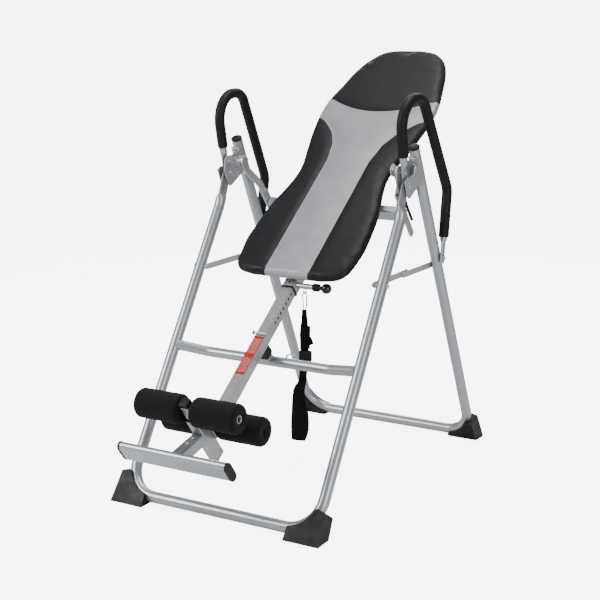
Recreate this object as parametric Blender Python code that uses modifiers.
"""Inversion table: a folding A-frame, a bed that tilts on two pivot arms, and a height boom with ankle rollers.

-Y is the foot end, +X is the right-hand side seen from there, and +Z is up. The bed is built in its own
frame: its origin is the pivot line, "along" runs up the bed to the head, and "normal" points out of the pad.
"""

import math

import bmesh
import bpy
from mathutils import Matrix, Vector

# Driving dimensions, in metres. Side-profile places are (y, z), with y counted from the front floor bar.
FRONT_BAR_Y = -0.5323
GAP = 0.0003
TUBE_R = 0.018
BAR_Z = 0.022
FRONT_X = 0.341
REAR_X = 0.337
FRONT_LEAN = math.radians(31.6)
REAR_LEAN = math.radians(24.9)
REAR_BAR_Y = 1.120
REAR_TOP_Z = 1.088
FRONT_CORNER_R = 0.100
REAR_CORNER_R = 0.092
LEG_KNEE_Z = 0.870
HINGE = (0.563, 0.976)
FLAT_X = 0.338
FLAT_HALF = 0.0045
FLAT_WIDE = 0.024
PRESS_LOW = 0.893
PRESS_HIGH = 0.918

CROSSBAR = (0.287, 0.427)
CROSSBAR_END_Z = 0.443
CROSSBAR_BEND_X = 0.224
CROSSBAR_R = 0.0165

PIVOT = (0.590, 1.018)
BED_ANGLE = math.radians(38.0)
BOOM_HALF = 0.019
BOOM_WALL = 0.003
BOOM_NORMAL = -0.199
SLEEVE_HALF = 0.0215
SLEEVE_LOW = -0.372
SLEEVE_HIGH = 0.420
PIN_ALONG = -0.3565
PIN_NORMAL = -0.193
HOLE_PITCH = 0.020
PAD_TOP = -0.130
PAD_BOTTOM = -0.1600
BOARD_BOTTOM = -0.1772
# Half of the pad's outline, from the foot end to the head: (half width, along).
PAD_HALF = [
    (0.000, -0.362), (0.090, -0.362), (0.165, -0.358), (0.205, -0.325), (0.220, -0.255), (0.222, -0.190),
    (0.209, -0.070), (0.187, 0.010), (0.169, 0.085), (0.168, 0.145), (0.188, 0.225), (0.209, 0.310),
    (0.221, 0.400), (0.220, 0.480), (0.203, 0.570), (0.184, 0.650), (0.155, 0.715), (0.110, 0.762),
    (0.050, 0.778), (0.000, 0.779),
]

ANKLE_ALONG = -0.972
ANKLE_LOW = -0.274
ANKLE_HIGH = -0.094
ANKLE_HALF = 0.019
POST_HALF = 0.0145
FRONT_ROLLER = (-0.972, -0.060)
REAR_ROLLER = (-0.914, -0.197)
ROLLER_TUBE_R = 0.0125
POST_TOP = -0.034
FOAM_R = 0.0445
FOAM_OUT = 0.176
FOOT_BAR = (-1.108, -0.1195)
FOOT_BAR_HALF_X = 0.184

SPREADER_Z = 0.681
SPREADER_MID_Y = 0.600
HANDLE_R = 0.0125
GRIP_R = 0.0172

ARM_X_TOP = 0.288
ARM_X_LOW = 0.262
ARM_T = 0.005
ARM_HALF_W = 0.014
CROSS_HALF_A = 0.015
STRAP_X = 0.045
STRAP_Y = 0.435
STRAP_TOP = 0.5660
STRAP_BOTTOM = 0.131

SIDES = {"right": 1, "left": -1}


def side(x, y, z):
    """A world point from its X, its distance behind the front floor bar, and its height."""
    return Vector((x, FRONT_BAR_Y + y, z))


ALONG = Vector((0, math.cos(BED_ANGLE), math.sin(BED_ANGLE)))
NORMAL = Vector((0, -math.sin(BED_ANGLE), math.cos(BED_ANGLE)))


def frame_of(origin, x_axis, y_axis):
    """A matrix whose local X and Y run along two given directions."""
    z_axis = x_axis.cross(y_axis)
    turn = Matrix((x_axis, y_axis, z_axis)).transposed().to_4x4()
    return Matrix.Translation(origin) @ turn


BED = frame_of(side(0, *PIVOT), Vector((1, 0, 0)), ALONG)
# Local X runs to the back, local Y up and local Z to the right: the frame of an upright plate seen from the side.
PROFILE = frame_of(side(0, 0, 0), Vector((0, 1, 0)), Vector((0, 0, 1)))


def bed(x, along, normal):
    return BED @ Vector((x, along, normal))


# ---- Scene, collections and materials


def clear_scene():
    for obj in list(bpy.data.objects):
        bpy.data.objects.remove(obj, do_unlink=True)


def make_collection(name):
    collection = bpy.data.collections.new(name)
    bpy.context.scene.collection.children.link(collection)
    return collection


clear_scene()
PARTS = make_collection("inversion_table")


def material(name, colour, roughness, metallic=0.0):
    made = bpy.data.materials.new(name)
    made.use_nodes = True
    shader = made.node_tree.nodes["Principled BSDF"]
    shader.inputs["Base Color"].default_value = (*colour, 1)
    shader.inputs["Roughness"].default_value = roughness
    shader.inputs["Metallic"].default_value = metallic
    return made


SILVER = ((0.50, 0.52, 0.55), 0.35, 0.6)
ZINC = ((0.55, 0.55, 0.54), 0.4, 0.8)
BLACK = ((0.03, 0.03, 0.033), 0.6, 0.0)
FOAM = ((0.02, 0.02, 0.022), 0.9, 0.0)
VINYL = ((0.05, 0.05, 0.055), 0.45, 0.0)
WOOD = ((0.45, 0.33, 0.2), 0.7, 0.0)
RED = ((0.62, 0.07, 0.04), 0.5, 0.0)


def finish(obj, look):
    """Gives a piece its own material and smooth shading with sharp edges."""
    obj.data.materials.clear()
    obj.data.materials.append(material(obj.name, *look))
    obj.data.shade_smooth()
    obj.data.set_sharp_from_angle(angle=math.radians(35))
    return obj


# ---- Shapes


def place(name, mesh, matrix=None):
    if matrix is not None:
        mesh.transform(matrix)
    obj = bpy.data.objects.new(name, mesh)
    PARTS.objects.link(obj)
    return obj


def from_bmesh(name, bm, matrix=None):
    bmesh.ops.recalc_face_normals(bm, faces=bm.faces)
    mesh = bpy.data.meshes.new(name)
    bm.to_mesh(mesh)
    bm.free()
    return place(name, mesh, matrix)


def from_curve(name, curve, matrix=None):
    """The curve's filled surface as a welded mesh."""
    guide = bpy.data.objects.new(name, curve)
    PARTS.objects.link(guide)
    graph = bpy.context.evaluated_depsgraph_get()
    mesh = bpy.data.meshes.new_from_object(guide.evaluated_get(graph))
    bpy.data.objects.remove(guide)
    bm = bmesh.new()
    bm.from_mesh(mesh)
    bpy.data.meshes.remove(mesh)
    bmesh.ops.remove_doubles(bm, verts=bm.verts, dist=1e-6)
    return from_bmesh(name, bm, matrix)


def box(name, low, high, matrix=None, bevel=0.0, segments=2):
    bm = bmesh.new()
    bmesh.ops.create_cube(bm, size=1)
    size = Vector(high) - Vector(low)
    centre = (Vector(high) + Vector(low)) / 2
    bm.transform(Matrix.Translation(centre) @ Matrix.Diagonal((*size, 1)))
    if bevel:
        bmesh.ops.bevel(bm, geom=bm.edges, offset=bevel, segments=segments, affect="EDGES", profile=0.5)
    return from_bmesh(name, bm, matrix)


def cylinder(name, start, end, radius, segments=20, end_radius=None):
    axis = Vector(end) - Vector(start)
    turn = axis.to_track_quat("Z", "Y").to_matrix().to_4x4()
    bm = bmesh.new()
    bmesh.ops.create_cone(
        bm, cap_ends=True, segments=segments, radius1=radius,
        radius2=radius if end_radius is None else end_radius, depth=axis.length,
    )
    return from_bmesh(name, bm, Matrix.Translation((Vector(start) + Vector(end)) / 2) @ turn)


def turned(name, profile, origin, axis, steps=24):
    """A solid of revolution: profile is a closed ring of (radius, height) around the axis through origin."""
    turn = Vector(axis).to_track_quat("Z", "Y").to_matrix().to_4x4()
    bm = bmesh.new()
    ring = [bm.verts.new((radius, 0, height)) for radius, height in profile]
    edges = [bm.edges.new((ring[i], ring[(i + 1) % len(ring)])) for i in range(len(ring))]
    bmesh.ops.spin(
        bm, geom=ring + edges, cent=(0, 0, 0), axis=(0, 0, 1), angle=math.tau, steps=steps, use_merge=True
    )
    bmesh.ops.remove_doubles(bm, verts=bm.verts, dist=1e-6)
    bmesh.ops.dissolve_degenerate(bm, edges=bm.edges, dist=1e-6)
    return from_bmesh(name, bm, Matrix.Translation(Vector(origin)) @ turn)


def plate(name, outline, thickness, matrix=None):
    """A flat outline in local X and Y, centred on the local plane and extruded both ways."""
    curve = bpy.data.curves.new(name, "CURVE")
    curve.dimensions = "2D"
    curve.fill_mode = "BOTH"
    curve.extrude = thickness / 2
    spline = curve.splines.new("POLY")
    spline.points.add(len(outline) - 1)
    for point, (u, v) in zip(spline.points, outline):
        point.co = (u, v, 0, 1)
    spline.use_cyclic_u = True
    return from_curve(name, curve, matrix)


def tube(name, points, radius, resolution=4, cyclic=False):
    curve = bpy.data.curves.new(name, "CURVE")
    curve.dimensions = "3D"
    curve.bevel_depth = radius
    curve.bevel_resolution = resolution
    curve.use_fill_caps = not cyclic
    spline = curve.splines.new("POLY")
    spline.points.add(len(points) - 1)
    for point, place_ in zip(spline.points, points):
        point.co = (*place_, 1)
    spline.use_cyclic_u = cyclic
    return from_curve(name, curve)


def rounded(corners, radii, steps=6):
    """A path through the corners with a circular bend of the given radius at each inner one."""
    path = [Vector(corners[0])]
    for i, radius in enumerate(radii, start=1):
        corner = Vector(corners[i])
        back = (Vector(corners[i - 1]) - corner).normalized()
        ahead = (Vector(corners[i + 1]) - corner).normalized()
        half = back.angle(ahead) / 2
        centre = corner + (back + ahead).normalized() * radius / math.sin(half)
        start = corner + back * radius / math.tan(half) - centre
        end = corner + ahead * radius / math.tan(half) - centre
        for k in range(steps + 1):
            path.append(centre + start.slerp(end, k / steps).normalized() * radius)
    return path + [Vector(corners[-1])]


def arc(centre, radius, start, end, steps):
    """Points on a circle in a plane, from one angle to another in degrees."""
    angles = [math.radians(start + (end - start) * k / steps) for k in range(steps + 1)]
    return [(centre[0] + radius * math.cos(t), centre[1] + radius * math.sin(t)) for t in angles]


def capsule(start, end, radius, steps=6):
    """The outline of a bar with round ends."""
    heading = math.degrees(math.atan2(end[1] - start[1], end[0] - start[0]))
    near = arc(start, radius, heading + 90, heading + 270, steps)
    return near + arc(end, radius, heading - 90, heading + 90, steps)


def weld(mesh):
    """Merges the near-equal vertices that a cut leaves along its edge."""
    bm = bmesh.new()
    bm.from_mesh(mesh)
    bmesh.ops.remove_doubles(bm, verts=bm.verts, dist=1e-5)
    bmesh.ops.dissolve_degenerate(bm, edges=bm.edges, dist=1e-6)
    bm.to_mesh(mesh)
    bm.free()


def combine(obj, others, operation):
    """Joins other solids to a solid, or cuts them from it, and removes them."""
    for other in others:
        step = obj.modifiers.new(operation, "BOOLEAN")
        step.operation = operation
        step.solver = "EXACT"
        step.object = other
        graph = bpy.context.evaluated_depsgraph_get()
        mesh = bpy.data.meshes.new_from_object(obj.evaluated_get(graph))
        obj.modifiers.clear()
        obj.data = mesh
        weld(mesh)
        bpy.data.objects.remove(other)
    return obj


def cut(obj, *others):
    return combine(obj, others, "DIFFERENCE")


def join(obj, *others):
    return combine(obj, others, "UNION")


def hex_head(name, start, end, radius):
    return cylinder(name, start, end, radius, segments=6)


def mirrored(point, sign):
    return Vector((point[0] * sign, point[1], point[2]))


# ---- The folding frame


def front_leg_y(z):
    """Where the straight part of the front legs is at a height."""
    return math.tan(FRONT_LEAN) * (z - BAR_Z)


def rear_leg_y(z):
    return REAR_BAR_Y - math.tan(REAR_LEAN) * (z - BAR_Z)


def upper_lean():
    """The direction of the front legs above the knee, as (behind, up)."""
    knee = Vector((front_leg_y(LEG_KNEE_Z), LEG_KNEE_Z))
    return (Vector(HINGE) - knee).normalized()


def flatten_leg_ends(obj):
    """Presses the upper ends of the front legs into flat blades with round tips for the hinge bolt."""
    lean = upper_lean()
    across = Vector((lean.y, -lean.x))
    for vertex in obj.data.vertices:
        press = min(max((vertex.co.z - PRESS_LOW) / (PRESS_HIGH - PRESS_LOW), 0), 1)
        if not press:
            continue
        place_ = Vector((vertex.co.y - FRONT_BAR_Y, vertex.co.z)) - Vector(HINGE)
        above = max(place_.dot(lean), 0)
        wide = math.sqrt(max(FLAT_WIDE**2 - above**2, 0))
        move = across * place_.dot(across) * press * (wide / TUBE_R - 1)
        vertex.co.y += move.x
        vertex.co.z += move.y
        sign = math.copysign(1, vertex.co.x)
        offset = abs(vertex.co.x) - FRONT_X
        centre = FRONT_X + press * (FLAT_X - FRONT_X)
        vertex.co.x = sign * (centre + offset * (1 - press * (1 - FLAT_HALF / TUBE_R)))


def front_path():
    """The front U's centre line, with rings where the legs are pressed."""
    knee = (front_leg_y(LEG_KNEE_Z), LEG_KNEE_Z)
    lean = upper_lean()
    levels = [Vector(HINGE) + lean * t for t in (0.022, 0.018, 0.011, 0)]
    levels += [Vector(HINGE) + lean * ((z - HINGE[1]) / lean.y) for z in (PRESS_HIGH, PRESS_LOW)]
    ends = [side(FRONT_X, *level) for level in levels]
    half = [ends[-1], side(FRONT_X, *knee), side(FRONT_X, 0, BAR_Z)]
    corners = half + [mirrored(point, -1) for point in reversed(half)]
    middle = rounded(corners, [0.15, FRONT_CORNER_R, FRONT_CORNER_R, 0.15], 5)
    return ends[:-1] + middle + [mirrored(point, -1) for point in reversed(ends[:-1])]


def rear_path():
    half = [side(REAR_X, rear_leg_y(REAR_TOP_Z), REAR_TOP_Z), side(REAR_X, REAR_BAR_Y, BAR_Z)]
    corners = half + [mirrored(point, -1) for point in reversed(half)]
    return rounded(corners, [REAR_CORNER_R, REAR_CORNER_R])


def bolt_hole(x_low, x_high, place_, radius):
    return cylinder("hole", side(x_low, *place_), side(x_high, *place_), radius + GAP, segments=12)


def front_u_tube():
    obj = tube("front_u_tube", front_path(), TUBE_R)
    flatten_leg_ends(obj)
    for sign in SIDES.values():
        cut(obj, bolt_hole(sign * 0.30, sign * 0.38, HINGE, 0.005))
        cut(obj, bolt_hole(sign * 0.30, sign * 0.38, (front_leg_y(SPREADER_Z), SPREADER_Z), 0.004))
    return finish(obj, SILVER)


def rear_u_tube():
    return finish(tube("rear_u_tube", rear_path(), TUBE_R), SILVER)


def front_crossbar():
    """The bent cross tube, trimmed against the legs that it is welded to."""
    half = [
        side(FRONT_X, front_leg_y(CROSSBAR_END_Z), CROSSBAR_END_Z),
        side(CROSSBAR_BEND_X, *CROSSBAR),
    ]
    corners = half + [mirrored(point, -1) for point in reversed(half)]
    obj = tube("front_crossbar", rounded(corners, [0.08, 0.08], 4), CROSSBAR_R)
    for sign in SIDES.values():
        low = side(sign * FRONT_X, front_leg_y(0.30), 0.30)
        high = side(sign * FRONT_X, front_leg_y(0.60), 0.60)
        cut(obj, cylinder("trim", low, high, TUBE_R + GAP, segments=24))
    return finish(join(obj, bumper_seat(), tether_eye()), SILVER)


def boot(name, sign, leg_x, bar_y, lean, corner_r, path):
    """A corner boot: a block in the plane of the U, hollowed by the bend of the tube and cut flat at the floor."""
    up = Vector((0, math.sin(lean), math.cos(lean)))
    plane = frame_of(side(0, bar_y, BAR_Z), Vector((1, 0, 0)), up)
    outer = leg_x + 0.027
    inner = leg_x - 0.086
    bend = arc((leg_x - corner_r, corner_r), corner_r, -80, -22, 7)
    outline = [(inner, -0.045), (outer + 0.008, -0.045), (outer, 0.058), (leg_x + 0.001, 0.066)]
    outline += reversed(bend)
    outline = [(x * sign, y) for x, y in outline]
    obj = plate(name, outline, 0.058, plane)
    floor = box("floor", (-0.6, -2, -0.2), (0.6, 2, 0))
    obj = cut(obj, floor, tube("bend", path, TUBE_R + 2 * GAP))
    bevel_sharp(obj, 0.0035)
    return finish(obj, BLACK)


def bevel_sharp(obj, width):
    """Rounds the clearly sharp outer edges of a moulded piece."""
    bm = bmesh.new()
    bm.from_mesh(obj.data)
    bmesh.ops.dissolve_limit(bm, angle_limit=math.radians(3), verts=bm.verts, edges=bm.edges)
    sharp = [
        edge for edge in bm.edges
        if edge.is_convex and edge.calc_length() > 0.012 and edge.calc_face_angle() > math.radians(60)
    ]
    bmesh.ops.bevel(bm, geom=sharp, offset=width, segments=1, affect="EDGES", clamp_overlap=True)
    bmesh.ops.triangulate(bm, faces=bm.faces)
    bm.to_mesh(obj.data)
    bm.free()


def leg_cap(name, sign):
    """The plug in the open top of a rear leg."""
    up = (side(0, rear_leg_y(1), 1) - side(0, rear_leg_y(0), 0)).normalized()
    seat = side(sign * REAR_X, rear_leg_y(REAR_TOP_Z), REAR_TOP_Z) + up * GAP
    profile = [(0, 0), (TUBE_R + 0.001, 0), (TUBE_R + 0.0016, 0.002), (TUBE_R, 0.007), (0.012, 0.0095), (0, 0.010)]
    return finish(turned(name, profile, seat, up, 16), BLACK)


def bracket(name, sign):
    """Two side plates and a back strap that is bolted up the front of the rear leg, with the pivot's cradle."""
    outline = [
        (0.551, 0.940), (0.560, 0.934), (0.571, 0.936), (0.640, 0.975), (0.668, 0.990), (0.640, 1.048),
        (0.608, 1.050), (0.570, 1.038), (0.540, 1.038), (0.531, 1.030), (0.527, 0.990),
    ]
    obj = plate(name, outline, 0.003, Matrix.Translation((sign * 0.3235, 0, 0)) @ PROFILE)
    outer_outline = [
        (0.551, 0.940), (0.560, 0.934), (0.571, 0.936), (0.640, 0.975), (0.668, 0.990), (0.648, 1.034),
        (0.606, 1.034), (0.596, 1.012), (0.578, 1.003), (0.545, 1.000), (0.529, 0.990),
    ]
    outer = plate("outer", outer_outline, 0.003, Matrix.Translation((sign * 0.3525, 0, 0)) @ PROFILE)
    leg_low = side(sign * REAR_X, rear_leg_y(0.90), 0.90)
    leg_high = side(sign * REAR_X, rear_leg_y(1.20), 1.20)
    up = (leg_high - leg_low).normalized()
    forward = Vector((0, -up.z, up.y))
    strap_frame = frame_of(side(sign * 0.338, rear_leg_y(0.975), 0.975), Vector((1, 0, 0)), up)
    strap = box("strap", (-0.016, 0, 0.0148), (0.016, 0.103, 0.0225), strap_frame)
    if (strap_frame @ Vector((0, 0, 1)) - strap_frame.translation).dot(forward) < 0:
        strap.data.transform(strap_frame @ Matrix.Scale(-1, 4, (0, 0, 1)) @ strap_frame.inverted())
        strap.data.flip_normals()
    ring = arc(PIVOT, 0.0175, 180, 360, 10) + arc(PIVOT, 0.0138, 360, 180, 10)
    cradle = plate("cradle", ring, 0.0300, Matrix.Translation((sign * 0.3081, 0, 0)) @ PROFILE)
    join(obj, outer, strap, cradle)
    leg = cylinder("leg", leg_low, leg_high, TUBE_R + GAP, segments=24)
    return finish(cut(obj, leg, bolt_hole(sign * 0.31, sign * 0.37, HINGE, 0.005)), ZINC)




def through_bolt(name, x_inner, x_outer, place_, shank, head, sign, head_t=0.005):
    """A bolt along X with a domed head outside and a nut inside."""
    profile = [
        (0, x_inner - head_t), (head, x_inner - head_t), (head, x_inner - GAP), (shank, x_inner - GAP),
        (shank, x_outer + GAP), (head, x_outer + GAP), (head * 0.92, x_outer + head_t * 0.6),
        (head * 0.6, x_outer + head_t), (0, x_outer + head_t),
    ]
    return finish(turned(name, profile, side(0, *place_), Vector((sign, 0, 0)), 12), ZINC)


# ---- Handlebars


def handle_path(sign):
    corners = [
        side(0.339, 0.5575, 1.0010), side(0.342, 0.5092, 1.2455), side(0.345, 0.668, 1.2455),
        side(0.358, 0.838, 0.937), side(0.3625, 0.7935, 0.694),
    ]
    return rounded([mirrored(c, sign) for c in corners], [0.088, 0.060, 0.050])


def flatten_handle_ends(obj):
    """Presses both ends of a handlebar tube flat where the bolts go through."""
    for vertex in obj.data.vertices:
        y = vertex.co.y - FRONT_BAR_Y
        front = y < 0.60 and vertex.co.z < 1.05
        rear = y > 0.70 and vertex.co.z < 0.778
        if not (front or rear):
            continue
        top, centre, half = (1.05, 0.3385, 0.0045) if front else (0.778, 0.3625, 0.0060)
        press = min((top - vertex.co.z) / 0.018, 1)
        if front:
            spread = (y - 0.5575 + (vertex.co.z - 1.001) * 0.1976) * 0.25 * press
            vertex.co.y += spread
        x = math.copysign(centre, vertex.co.x)
        vertex.co.x = x + (vertex.co.x - x) * (1 - press * (1 - half / HANDLE_R))


def stretch(path, z_front, z_rear):
    """The stretch of a handlebar's path above two heights, one at each end."""
    middle = len(path) // 2
    kept = []
    for i, (start, end) in enumerate(zip(path, path[1:])):
        level = z_front if i < middle else z_rear
        if (start.z - level) * (end.z - level) < 0:
            kept.append(start.lerp(end, (level - start.z) / (end.z - start.z)))
        if end.z > level:
            kept.append(end)
    return kept


def handlebar(label, sign):
    path = handle_path(sign)
    front = [path[0].lerp(path[1], part) for part in (0, 0.2, 0.34, 0.41)]
    rear = [path[-2].lerp(path[-1], part) for part in (0.64, 0.72, 1)]
    obj = tube(f"handlebar_{label}", [*front, *path[1:-1], *rear], HANDLE_R, resolution=3)
    flatten_handle_ends(obj)
    grip = sleeve(f"handlebar_grip_{label}", stretch(path, 1.066, 0.779), HANDLE_R + GAP, GRIP_R)
    return finish(obj, SILVER), finish(grip, FOAM)


def sleeve(name, path, inner, outer):
    """A hollow foam sleeve along a path."""
    obj = tube(name, path, outer, resolution=3)
    start, end = Vector(path[0]), Vector(path[-1])
    longer = [start + (start - Vector(path[1])) * 0.5, *path, end + (end - Vector(path[-2])) * 0.5]
    return cut(obj, tube("core", longer, inner, resolution=3))


# ---- Spreader arms between the legs

SPREADER_FRONT = (front_leg_y(SPREADER_Z), SPREADER_Z)
SPREADER_REAR = (rear_leg_y(SPREADER_Z + 0.002), SPREADER_Z + 0.002)
SPREADER_MID = (SPREADER_MID_Y, SPREADER_Z)


def spreader_front(label, sign):
    """The front arm runs a little past the middle, where its stop pin lies on the rear arm's top edge."""
    end = (SPREADER_MID[0] + 0.029, SPREADER_MID[1] + 0.004)
    obj = plate(
        f"spreader_front_{label}", capsule(SPREADER_FRONT, end, 0.0100), 0.003,
        Matrix.Translation((sign * 0.3135, 0, 0)) @ PROFILE,
    )
    pin_at = (SPREADER_MID[0] + 0.028, SPREADER_MID[1] + 0.0132)
    pin = cylinder("pin", side(sign * 0.3100, *pin_at), side(sign * 0.3188, *pin_at), 0.0025, 10)
    head = cylinder("head", side(sign * 0.3135, *SPREADER_MID), side(sign * 0.3080, *SPREADER_MID), 0.0075, 12)
    cut(obj, bolt_hole(sign * 0.30, sign * 0.33, SPREADER_FRONT, 0.004))
    return finish(join(obj, pin, head), ZINC)


def spreader_rear(label, sign):
    obj = plate(
        f"spreader_rear_{label}", capsule(SPREADER_MID, SPREADER_REAR, 0.0100), 0.003,
        Matrix.Translation((sign * 0.3171, 0, 0)) @ PROFILE,
    )
    return finish(obj, ZINC)


def spreader_bolt_rear(label, sign):
    """A bolt head with a dark washer on the inner side of a rear leg."""
    inner = 0.3156 - GAP
    profile = [
        (0, inner), (0.0105, inner), (0.0105, inner - 0.002), (0.0072, inner - 0.0024), (0.0068, inner - 0.0062),
        (0, inner - 0.0062),
    ]
    at = side(0, *SPREADER_REAR)
    return finish(turned(f"spreader_bolt_rear_{label}", profile[::-1], at, Vector((sign, 0, 0)), 12), BLACK)


# ---- The bed


def pivot_roller(label, sign):
    """A turned axle: the disc inside the arm, the neck through it and the roller in the bracket's cradle."""
    profile = [
        (0, 0.2795), (0.0185, 0.2795), (0.0200, 0.2810), (0.0200, 0.2840), (0.0185, ARM_X_TOP - 0.0025 - GAP),
        (0.0060, ARM_X_TOP - 0.0025 - GAP), (0.0060, ARM_X_TOP + 0.0025 + GAP),
        (0.0132, ARM_X_TOP + 0.0025 + GAP), (0.0132, 0.3215), (0, 0.3215),
    ]
    obj = turned(f"pivot_roller_{label}", profile, side(0, *PIVOT), Vector((sign, 0, 0)), 16)
    return finish(obj, ZINC)


def pivot_arm(label, sign):
    """A flat bar square to the bed, jogged inwards on its way down to the bed's cross tube."""
    half = ARM_T / 2
    line = [(ARM_X_TOP, 0.018), (ARM_X_TOP, -0.045), (ARM_X_LOW, -0.105), (ARM_X_LOW, -0.300)]
    outline = [(x + half, n) for x, n in line] + [(x - half, n) for x, n in reversed(line)]
    frame = BED @ frame_of(Vector((0, 0, 0)), Vector((sign, 0, 0)), Vector((0, 0, 1)))
    bar = plate(f"pivot_arm_{label}", outline, 2 * ARM_HALF_W)
    bm = bmesh.new()
    bm.from_mesh(bar.data)
    corners = [
        e for e in bm.edges
        if abs(e.verts[0].co.y - e.verts[1].co.y) < 1e-5 and abs(e.verts[0].co.z - e.verts[1].co.z) < 1e-5
        and (e.verts[0].co.y > 0.017 or e.verts[0].co.y < -0.299)
    ]
    bmesh.ops.bevel(bm, geom=corners, offset=0.0125, segments=5, affect="EDGES", profile=0.5)
    bmesh.ops.recalc_face_normals(bm, faces=bm.faces)
    bm.to_mesh(bar.data)
    bm.free()
    bar.data.transform(frame)
    if frame.determinant() < 0:
        bar.data.flip_normals()
    holes = [(0, 0.0060), (LEVER_NORMAL, 0.0045), (-0.285, 0.0040)]
    for normal, radius in holes:
        start = bed(sign * 0.25, 0, normal)
        end = bed(sign * 0.30, 0, normal)
        cut(bar, cylinder("hole", start, end, radius + GAP, 16))
    return finish(bar, ZINC)


def bed_crossbar(label, sign):
    """One half of the cross tube, welded to the side of the main tube, with its upright end plate."""
    ends = sorted((sign * (SLEEVE_HALF + GAP), sign * 0.2562))
    low = (ends[0], -CROSS_HALF_A, -0.2225)
    high = (ends[1], CROSS_HALF_A, BOARD_BOTTOM - 0.0008)
    beam = box(f"bed_crossbar_{label}", low, high, BED, 0.003, 1)
    ends = sorted((sign * 0.2555, sign * 0.2590))
    tab = box("tab", (ends[0], -0.0165, -0.2245), (ends[1], 0.0165, -0.1400), BED)
    return finish(join(beam, tab), SILVER)


def lock_lever():
    """The catch that hangs beside the right arm, with its black grip."""
    x = LEVER_X
    frame = BED @ frame_of(Vector((x, 0, 0)), Vector((0, 1, 0)), Vector((0, 0, 1)))
    blade = plate("lock_lever", capsule((0, LEVER_NORMAL), (0, -0.150), 0.0080), 0.004, frame)
    grip = tube("grip", [bed(x, 0, n) for n in (-0.140, -0.224)], 0.0052, resolution=2)
    pin = cylinder("pin", bed(0.2540, 0, LEVER_NORMAL), bed(x, 0, LEVER_NORMAL), 0.0045, 12)
    return finish(join(blade, grip, pin), BLACK)


LEVER_X = 0.2830
LEVER_NORMAL = -0.112


def bed_main_tube():
    """The square tube under the board, open at both ends, in which the boom slides."""
    half = SLEEVE_HALF
    inner = BOOM_HALF + 0.0006
    low = (-half, SLEEVE_LOW, BOOM_NORMAL - half)
    high = (half, SLEEVE_HIGH, BOOM_NORMAL + half)
    obj = box("bed_main_tube", low, high, BED, 0.003, 1)
    bore = box("bore", (-inner, -1, BOOM_NORMAL - inner), (inner, 1, BOOM_NORMAL + inner), BED)
    hole = cylinder("hole", bed(0.01, PIN_ALONG, PIN_NORMAL), bed(0.04, PIN_ALONG, PIN_NORMAL), 0.005, 16)
    return finish(cut(obj, bore, hole), SILVER)


def sleeve_collar():
    """The black plastic lip at the mouth of the main tube."""
    outer = SLEEVE_HALF + 0.0012
    inner = BOOM_HALF + 0.0006
    low = (-outer, SLEEVE_LOW - 0.008, BOOM_NORMAL - outer)
    high = (outer, SLEEVE_LOW - GAP, BOOM_NORMAL + outer)
    obj = box("sleeve_collar", low, high, BED, 0.002, 1)
    bore = box("bore", (-inner, -1, BOOM_NORMAL - inner), (inner, 1, BOOM_NORMAL + inner), BED)
    return finish(cut(obj, bore), BLACK)


def pad_outline(inset):
    """The pad's closed outline, smoothed through its half-width points and drawn in by a distance."""
    right = [Vector((half, along)) for half, along in PAD_HALF]
    ring = right + [Vector((-p.x, p.y)) for p in reversed(right[1:-1])]
    count = len(ring)
    outline = []
    for i in range(count):
        ahead, back = ring[(i + 1) % count], ring[i - 1]
        run = (ahead - back).normalized()
        outline.append(ring[i] + Vector((-run.y, run.x)) * inset)
    return [tuple(p) for p in outline]


def backrest(name, inset, low, high, look, bevel):
    frame = BED @ Matrix.Translation((0, 0, (low + high) / 2))
    obj = plate(name, pad_outline(inset), high - low, frame)
    if bevel:
        step = obj.modifiers.new("soft_edge", "BEVEL")
        step.width = bevel
        step.segments = 2
        step.limit_method = "ANGLE"
        step.angle_limit = math.radians(50)
    return finish(obj, look)


# ---- The pull pin


def pin_housing():
    """The pin's tube on the side of the main tube, with the tether's ring welded under it."""
    profile = [(0.0092, 0.0218), (0.0092, 0.0840), (0.0054, 0.0840), (0.0054, 0.0218)]
    obj = turned("pin_housing", profile, bed(0, PIN_ALONG, PIN_NORMAL), Vector((1, 0, 0)), 16)
    return finish(join(obj, tether_ring()), SILVER)


def pin_bush():
    """The black bush that closes the housing."""
    profile = [
        (0.0115, 0.0843), (0.0128, 0.0860), (0.0128, 0.1030), (0.0108, 0.1050), (0.0054, 0.1050), (0.0054, 0.0843),
    ]
    return finish(turned("pin_bush", profile, bed(0, PIN_ALONG, PIN_NORMAL), Vector((1, 0, 0)), 16), BLACK)


def pull_pin():
    """The spring pin with its ball knob."""
    centre, radius = 0.1310, 0.0170
    shaft = [(0, 0.0200), (0.0044, 0.0215), (0.0044, 0.1060), (0.0075, 0.1062), (0.0068, 0.1130)]
    angles = [math.radians(155 - 155 * k / 8) for k in range(9)]
    ball = [(radius * math.sin(t), centre + radius * math.cos(t)) for t in angles]
    obj = turned("pull_pin", shaft + ball, bed(0, PIN_ALONG, PIN_NORMAL), Vector((1, 0, 0)), 14)
    return finish(obj, BLACK)


# ---- The boom and ankle holder


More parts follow.
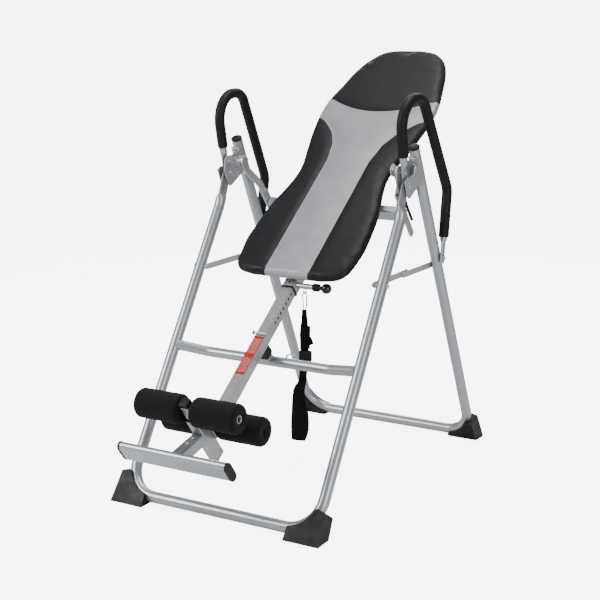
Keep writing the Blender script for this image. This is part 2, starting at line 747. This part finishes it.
def boom():
    """The square height tube, open at its upper end, with a row of pin holes in its right wall."""
    low = (-BOOM_HALF, ANKLE_ALONG + ANKLE_HALF + GAP, BOOM_NORMAL - BOOM_HALF)
    high = (BOOM_HALF, -0.160, BOOM_NORMAL + BOOM_HALF)
    obj = box("height_boom", low, high, BED, 0.002, 1)
    wall = BOOM_HALF - BOOM_WALL
    bore = box("bore", (-wall, -0.880, BOOM_NORMAL - wall), (wall, 0, BOOM_NORMAL + wall), BED)
    cut(obj, bore)
    first = PIN_ALONG - 8 * HOLE_PITCH
    for k in range(15):
        along = first + k * HOLE_PITCH
        cut(obj, cylinder("hole", bed(0.010, along, PIN_NORMAL), bed(0.030, along, PIN_NORMAL), 0.0048, 8))
    axle = cylinder("axle", bed(-0.1, *REAR_ROLLER), bed(0.1, *REAR_ROLLER), ROLLER_TUBE_R + GAP, 24)
    return finish(cut(obj, axle), SILVER)


def boom_stop_bolt():
    """The cross bolt that stops the boom at the sleeve, lying in the top of the boom."""
    top = BOOM_NORMAL + BOOM_HALF + 0.0043
    pin = cylinder("boom_stop_bolt", bed(-0.0290, -0.578, top), bed(0.0215, -0.578, top), 0.0040, 12)
    head = hex_head("head", bed(-0.0290, -0.578, top), bed(-0.0235, -0.578, top), 0.0070)
    return finish(join(pin, head), ZINC)


def square_tube_post(name, low, high, half, wall=0.0):
    frame_low = (-half, ANKLE_ALONG - half, low)
    frame_high = (half, ANKLE_ALONG + half, high)
    obj = box(name, frame_low, frame_high, BED, 0.0025, 1)
    if wall:
        bore_half = half - wall
        bore_low = (-bore_half, ANKLE_ALONG - bore_half, -1)
        cut(obj, box("bore", bore_low, (bore_half, ANKLE_ALONG + bore_half, 1), BED))
    return obj


def ankle_holder():
    """The tube square to the boom's end, open for the post, with a cross hole near its foot."""
    obj = square_tube_post("ankle_holder", ANKLE_LOW, ANKLE_HIGH, ANKLE_HALF, ANKLE_HALF - POST_HALF - 0.0006)
    hole = cylinder("hole", bed(-0.03, ANKLE_ALONG + 0.006, -0.258), bed(0.03, ANKLE_ALONG + 0.006, -0.258), 0.003, 12)
    return finish(cut(obj, hole), SILVER)


def ankle_holder_collar():
    outer = ANKLE_HALF + 0.0008
    inner = POST_HALF + 0.0006
    low = (-outer, ANKLE_ALONG - outer, ANKLE_HIGH + GAP)
    high = (outer, ANKLE_ALONG + outer, ANKLE_HIGH + 0.006)
    obj = box("ankle_holder_collar", low, high, BED, 0.0015, 1)
    bore = box("bore", (-inner, ANKLE_ALONG - inner, -1), (inner, ANKLE_ALONG + inner, 1), BED)
    return finish(cut(obj, bore), BLACK)


def ankle_holder_plug():
    outer = ANKLE_HALF
    low = (-outer, ANKLE_ALONG - outer, ANKLE_LOW - 0.0035)
    high = (outer, ANKLE_ALONG + outer, ANKLE_LOW - GAP)
    return finish(box("ankle_holder_plug", low, high, BED, 0.0012, 1), BLACK)


def ankle_post():
    """The post that slides in the holder, bored near its top for the front rollers' tube."""
    obj = square_tube_post("ankle_post", -0.200, POST_TOP, POST_HALF)
    bore = cylinder("bore", bed(-0.03, *FRONT_ROLLER), bed(0.03, *FRONT_ROLLER), ROLLER_TUBE_R + GAP, 24)
    return finish(cut(obj, bore), SILVER)


def ankle_post_cap():
    """The black cap on the post."""
    outer = POST_HALF + 0.0006
    low = (-outer, ANKLE_ALONG - outer, POST_TOP + GAP)
    high = (outer, ANKLE_ALONG + outer, POST_TOP + 0.016)
    return finish(box("ankle_post_cap", low, high, BED, 0.003, 2), BLACK)


def roller_tube(name, centre, half_x):
    profile = [(0, -half_x), (ROLLER_TUBE_R, -half_x), (ROLLER_TUBE_R, half_x), (0, half_x)]
    return finish(turned(name, profile, bed(0, *centre), Vector((1, 0, 0)), 20), SILVER)


def foam_roller(name, centre, x_in, x_out, sign):
    """A foam sleeve with rounded ends and a shallow recess where the tube ends."""
    bore = ROLLER_TUBE_R + GAP
    profile = [
        (bore, x_in), (FOAM_R - 0.012, x_in), (FOAM_R - 0.004, x_in + 0.004), (FOAM_R, x_in + 0.013),
        (FOAM_R, x_out - 0.013), (FOAM_R - 0.004, x_out - 0.004), (FOAM_R - 0.012, x_out), (bore, x_out),
    ]
    obj = turned(name, profile, bed(0, *centre), Vector((sign, 0, 0)), 20)
    return finish(obj, FOAM)


def footrest_arm():
    """The square tube from the holder out to the foot bar."""
    start = bed(0, ANKLE_ALONG - ANKLE_HALF - GAP, -0.1690)
    end = bed(0, FOOT_BAR[0] + 0.0150, FOOT_BAR[1] - 0.0040)
    run = (end - start).normalized()
    frame = frame_of(start, Vector((1, 0, 0)), run)
    obj = box("footrest_arm", (-0.0185, -0.03, -0.019), (0.0185, 0.16, 0.019), frame, 0.003, 1)
    cut(obj, box("trim", (-0.05, ANKLE_ALONG - ANKLE_HALF - GAP, -0.5), (0.05, 0.5, 0.5), BED))
    cut(obj, box("trim", (-0.05, -2, -0.5), (0.05, FOOT_BAR[0] + 0.0135 + GAP, 0.5), BED))
    return finish(obj, SILVER)


def oval_bar(name, x_low, x_high, half_w, half_t):
    """A flat oval bar along X at the foot bar's place."""
    straight = half_w - half_t
    outline = capsule((0, -straight), (0, straight), half_t, 8)
    centre = bed((x_low + x_high) / 2, *FOOT_BAR)
    frame = frame_of(centre, ALONG, NORMAL)
    return plate(name, outline, x_high - x_low, frame)


def foot_bar():
    return finish(oval_bar("foot_bar", -FOOT_BAR_HALF_X, FOOT_BAR_HALF_X, 0.0350, 0.0135), SILVER)


def foot_bar_cap(label, sign):
    ends = sorted((sign * (FOOT_BAR_HALF_X + GAP), sign * (FOOT_BAR_HALF_X + 0.0065)))
    return finish(oval_bar(f"foot_bar_cap_{label}", *ends, 0.0362, 0.0147), BLACK)


# ---- The crossbar's bumper and eye, and the tether


def bumper_seat():
    """The small block welded on the front cross tube that holds the rubber bumper."""
    frame = frame_of(side(0, *CROSSBAR), Vector((1, 0, 0)), ALONG)
    return box("bumper_seat", (-0.0165, -0.014, 0.004), (0.0165, 0.014, 0.0245), frame, 0.001, 1)


def bumper():
    frame = frame_of(side(0, *CROSSBAR), Vector((1, 0, 0)), ALONG)
    rest = (bed(0, 0, BOOM_NORMAL - BOOM_HALF) - frame.translation).dot(NORMAL)
    return finish(box("bumper", (-0.0190, -0.0185, 0.0248), (0.0190, 0.0185, rest - GAP), frame, 0.004, 2), BLACK)


def tether_eye():
    """A bent wire eye welded on top of the front cross tube."""
    base_y, base_z = CROSSBAR
    centre = side(0.088, base_y, base_z)
    steps = 12
    loop = [
        centre + Vector((0.017 * math.cos(t), 0.004 * math.cos(t), CROSSBAR_R - 0.004 + 0.0190 * math.sin(t)))
        for t in (math.pi * k / steps for k in range(steps + 1))
    ]
    return tube("tether_eye", loop, 0.0026, resolution=2)


RING_CENTRE = side(0.047, STRAP_Y, 0.6290)


def tether_ring():
    """The welded ring under the pin housing."""
    steps = 16
    loop = [
        RING_CENTRE + Vector((0, 0.0080 * math.cos(t), 0.0080 * math.sin(t)))
        for t in (math.tau * k / steps for k in range(steps))
    ]
    return tube("tether_ring", loop, 0.0018, resolution=2, cyclic=True)


def carabiner():
    """A closed wire link through the ring."""
    across = Vector((math.cos(math.radians(31)), math.sin(math.radians(31)), 0))
    half, top, bottom = 0.0070, 0.6250, 0.5680
    loop = arc((0, top - half), half, 0, 180, 6) + arc((0, bottom + half), half, 180, 360, 6)
    base = side(RING_CENTRE.x, STRAP_Y, 0)
    points = [base + across * u + Vector((0, 0, v)) for u, v in loop]
    return finish(tube("carabiner", points, 0.0021, resolution=2, cyclic=True), ZINC)


# The webbing's sections from top to bottom: (height, half width, half thickness, shift to the side).
STRAP_SECTIONS = [
    (STRAP_TOP - 0.0003, 0.010, 0.0035, 0.000), (0.530, 0.011, 0.0035, 0.000), (0.520, 0.016, 0.0045, 0.001),
    (0.440, 0.016, 0.0045, 0.001), (0.375, 0.013, 0.0035, -0.003), (0.340, 0.013, 0.0035, -0.006),
    (0.322, 0.022, 0.0050, -0.011), (0.260, 0.027, 0.0065, -0.012), (0.180, 0.028, 0.0065, -0.012),
    (STRAP_BOTTOM, 0.023, 0.0060, -0.014),
]
ACROSS = Vector((math.cos(math.radians(31)), math.sin(math.radians(31)), 0))
THROUGH = Vector((-ACROSS.y, ACROSS.x, 0))


def tether_strap():
    """The hanging webbing as a loft through its flat sections."""
    bm = bmesh.new()
    rings = []
    for height, half_w, half_t, shift in STRAP_SECTIONS:
        centre = side(STRAP_X, STRAP_Y, height) + ACROSS * shift
        corners = [(-1, -1), (1, -1), (1, 1), (-1, 1)]
        rings.append([bm.verts.new(centre + ACROSS * half_w * u + THROUGH * half_t * v) for u, v in corners])
    for upper, lower in zip(rings, rings[1:]):
        for k in range(4):
            bm.faces.new((upper[k], upper[(k + 1) % 4], lower[(k + 1) % 4], lower[k]))
    bm.faces.new(rings[0])
    bm.faces.new(rings[-1])
    return finish(from_bmesh("tether_strap", bm), BLACK)


def tether_buckle():
    """The plastic buckle on the face of the webbing."""
    frame = frame_of(side(STRAP_X, STRAP_Y, 0.415) + ACROSS * 0.004, ACROSS, Vector((0, 0, 1)))
    return finish(box("tether_buckle", (-0.020, -0.020, 0.0052), (0.020, 0.020, 0.0110), frame, 0.002, 1), BLACK)


# ---- Assembly


def holder_on(name, place_):
    empty = bpy.data.objects.new(name, None)
    empty.location = place_
    PARTS.objects.link(empty)
    return empty


def attach(empty, *pieces):
    """Parents pieces to an empty that lies on their joint's axis."""
    bpy.context.view_layer.update()
    for piece in pieces:
        piece.parent = empty
        piece.matrix_parent_inverse = empty.matrix_world.inverted()


def build_frame():
    rear_u_tube()
    fold = holder_on("fold_axis", side(0, *HINGE))
    attach(fold, front_u_tube(), front_crossbar(), bumper())
    for label, sign in SIDES.items():
        bracket(f"side_bracket_{label}", sign)
        through_bolt(f"hinge_bolt_{label}", 0.3220, 0.3540, HINGE, 0.005, 0.0095, sign)
        leg_cap(f"rear_leg_cap_{label}", sign)
        handlebar(label, sign)
        boot(f"rear_foot_{label}", sign, REAR_X, REAR_BAR_Y, -REAR_LEAN, REAR_CORNER_R, rear_path())
        foot = boot(f"front_foot_{label}", sign, FRONT_X, 0, FRONT_LEAN, FRONT_CORNER_R, front_path())
        name = f"spreader_bolt_front_{label}"
        bolt = through_bolt(name, 0.3120, FRONT_X + TUBE_R, SPREADER_FRONT, 0.004, 0.0078, sign)
        attach(fold, foot, bolt)
        spreader_bolt_rear(label, sign)
        attach(holder_on(f"spreader_front_axis_{label}", side(0, *SPREADER_FRONT)), spreader_front(label, sign))
        attach(holder_on(f"spreader_rear_axis_{label}", side(0, *SPREADER_REAR)), spreader_rear(label, sign))


def build_bed():
    tilt = holder_on("tilt_axis", side(0, *PIVOT))
    pieces = [bed_main_tube(), sleeve_collar(), pin_housing(), pin_bush()]
    pieces.append(backrest("backrest_board", 0.028, BOARD_BOTTOM, PAD_BOTTOM - GAP, WOOD, 0))
    pieces.append(backrest("backrest_pad", 0, PAD_BOTTOM, PAD_TOP, VINYL, 0.011))
    for label, sign in SIDES.items():
        pieces += [bed_crossbar(label, sign), pivot_roller(label, sign), pivot_arm(label, sign)]
    attach(tilt, *pieces)
    attach(holder_on("lever_axis", bed(0, 0, LEVER_NORMAL)), lock_lever())
    attach(holder_on("pull_pin_axis", bed(0, PIN_ALONG, PIN_NORMAL)), pull_pin())
    attach(holder_on("tether_axis", RING_CENTRE), carabiner(), tether_strap(), tether_buckle())


def build_boom():
    slide = holder_on("boom_axis", bed(0, 0, BOOM_NORMAL))
    rear_tube = roller_tube("rear_roller_tube", REAR_ROLLER, FOAM_OUT - 0.004)
    attach(slide, boom(), boom_stop_bolt(), ankle_holder(), ankle_holder_collar(), ankle_holder_plug(), rear_tube)
    attach(slide, footrest_arm(), foot_bar())
    post_axis = holder_on("ankle_post_axis", bed(0, ANKLE_ALONG, 0))
    front_tube = roller_tube("front_roller_tube", FRONT_ROLLER, FOAM_OUT - 0.004)
    attach(post_axis, ankle_post(), ankle_post_cap(), front_tube)
    for label, sign in SIDES.items():
        attach(slide, foot_bar_cap(label, sign))
        front = foam_roller(f"front_roller_{label}", FRONT_ROLLER, 0.0203, FOAM_OUT, sign)
        rear = foam_roller(f"rear_roller_{label}", REAR_ROLLER, 0.0225, FOAM_OUT, sign)
        attach(holder_on(f"front_roller_axis_{label}", bed(0, *FRONT_ROLLER)), front)
        attach(holder_on(f"rear_roller_axis_{label}", bed(0, *REAR_ROLLER)), rear)


build_frame()
build_bed()
build_boom()
